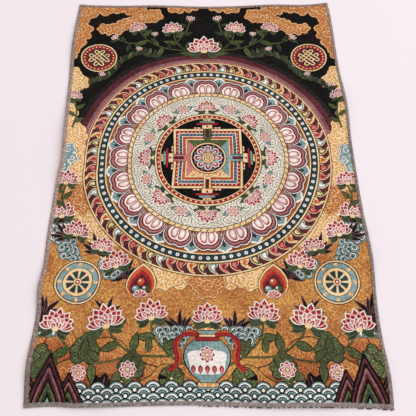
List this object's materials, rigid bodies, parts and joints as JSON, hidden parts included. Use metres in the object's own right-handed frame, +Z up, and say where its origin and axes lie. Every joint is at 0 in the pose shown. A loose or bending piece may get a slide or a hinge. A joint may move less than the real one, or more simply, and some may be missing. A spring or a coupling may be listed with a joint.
{
  "type": "woven brocade thangka panel",
  "caption": "Flat woven brocade panel with a mandala design and overlocked grey thread edges, lying face up with soft ripples along its sides.",
  "frame": {"origin": "under the middle of the panel, on the surface it lies on", "axes": "+Z up out of the picture side, +Y towards the top of the picture, +X to the picture's right"},
  "size_m": [0.611, 0.904, 0.0108],
  "materials": {
    "brocade": "matt woven cotton and silk-like brocade in black, gold, cream, green, crimson and teal yarns",
    "edging_thread": "matt grey-brown polyester overlock thread, close slanted stitches"
  },
  "bodies": {
    "root": {"woven_panel": "brocade", "edging_bottom": "edging_thread", "edging_right": "edging_thread", "edging_top": "edging_thread", "edging_left": "edging_thread"}
  },
  "joints": []
}
